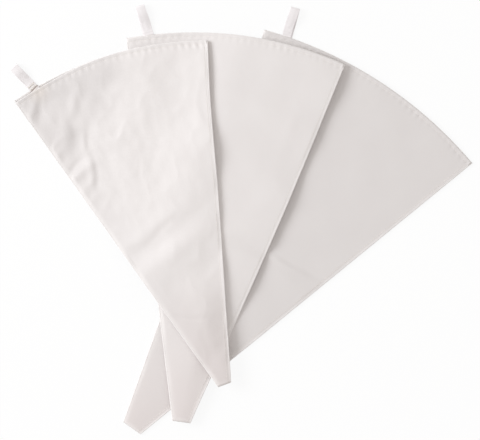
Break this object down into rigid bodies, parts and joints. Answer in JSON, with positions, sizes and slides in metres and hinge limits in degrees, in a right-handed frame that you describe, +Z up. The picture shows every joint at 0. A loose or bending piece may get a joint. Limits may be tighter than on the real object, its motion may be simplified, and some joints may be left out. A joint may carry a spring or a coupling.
{
  "type": "piping bag set",
  "caption": "Reusable piping bags of coated cotton in graded sizes, laid flat as a fan, with hemmed mouths, side seams, cut tips and hanging loops.",
  "frame": {"origin": "centre of the fan, on the table, at the underside of the large bag", "axes": "+Z up from the table, +Y from the tips towards the mouths"},
  "size_m": [0.6005, 0.5575, 0.0252],
  "materials": {
    "coated_cotton": "matte",
    "hem_cotton": "matte",
    "seam_cotton": "matte",
    "cotton_tape": "matte",
    "thread": "matte"
  },
  "bodies": {
    "large_bag": {"large_back_panel": "coated_cotton", "large_back_hem": "hem_cotton", "large_left_seam": "seam_cotton", "large_right_seam": "seam_cotton", "large_back_stitching": "thread", "large_loop_tab": "cotton_tape", "large_bar_tack": "thread"},
    "large_front": {"large_front_panel": "coated_cotton", "large_front_hem": "hem_cotton", "large_front_stitching": "thread", "large_side_stitching": "thread"},
    "large_loop": {"large_hanging_loop": "cotton_tape"},
    "medium_bag": {"medium_back_panel": "coated_cotton", "medium_back_hem": "hem_cotton", "medium_left_seam": "seam_cotton", "medium_right_seam": "seam_cotton", "medium_back_stitching": "thread", "medium_loop_tab": "cotton_tape", "medium_bar_tack": "thread"},
    "medium_front": {"medium_front_panel": "coated_cotton", "medium_front_hem": "hem_cotton", "medium_front_stitching": "thread", "medium_side_stitching": "thread"},
    "medium_loop": {"medium_hanging_loop": "cotton_tape"},
    "small_bag": {"small_back_panel": "coated_cotton", "small_back_hem": "hem_cotton", "small_left_seam": "seam_cotton", "small_right_seam": "seam_cotton", "small_back_stitching": "thread", "small_loop_tab": "cotton_tape", "small_bar_tack": "thread"},
    "small_front": {"small_front_panel": "coated_cotton", "small_front_hem": "hem_cotton", "small_front_stitching": "thread", "small_side_stitching": "thread"},
    "small_loop": {"small_hanging_loop": "cotton_tape"}
  },
  "joints": [
    {"name": "large_mouth_opening", "type": "hinge", "parent": "large_bag", "child": "large_front", "pos_m": [-0.086, -0.1325, 0.0006], "axis": [0.8161, -0.5779, 0], "range_deg": [0, 5]},
    {"name": "large_loop_fold", "type": "hinge", "parent": "large_bag", "child": "large_loop", "pos_m": [0.11659, 0.37655, 0.0018], "axis": [0.9644, -0.2646, 0], "range_deg": [0, 80]},
    {"name": "medium_lift", "type": "slide", "parent": "large_front", "child": "medium_bag", "axis": [0, 0, 1], "range_m": [0, 0.12]},
    {"name": "medium_mouth_opening", "type": "hinge", "parent": "medium_bag", "child": "medium_front", "pos_m": [-0.0215, -0.124, 0.00864], "axis": [0.99, -0.1409, 0], "range_deg": [0, 6]},
    {"name": "medium_loop_fold", "type": "hinge", "parent": "medium_bag", "child": "medium_loop", "pos_m": [-0.0658, 0.37959, 0.0018], "axis": [0.9638, 0.2667, 0], "range_deg": [0, 80]},
    {"name": "small_lift", "type": "slide", "parent": "medium_front", "child": "small_bag", "axis": [0, 0, 1], "range_m": [0, 0.12]},
    {"name": "small_mouth_opening", "type": "hinge", "parent": "small_bag", "child": "small_front", "pos_m": [0.0345, -0.0755, 0.01682], "axis": [0.9415, 0.3371, 0], "range_deg": [0, 7]},
    {"name": "small_loop_fold", "type": "hinge", "parent": "small_bag", "child": "small_loop", "pos_m": [-0.21504, 0.30993, 0.0018], "axis": [0.7245, 0.6893, 0], "range_deg": [0, 80]}
  ]
}
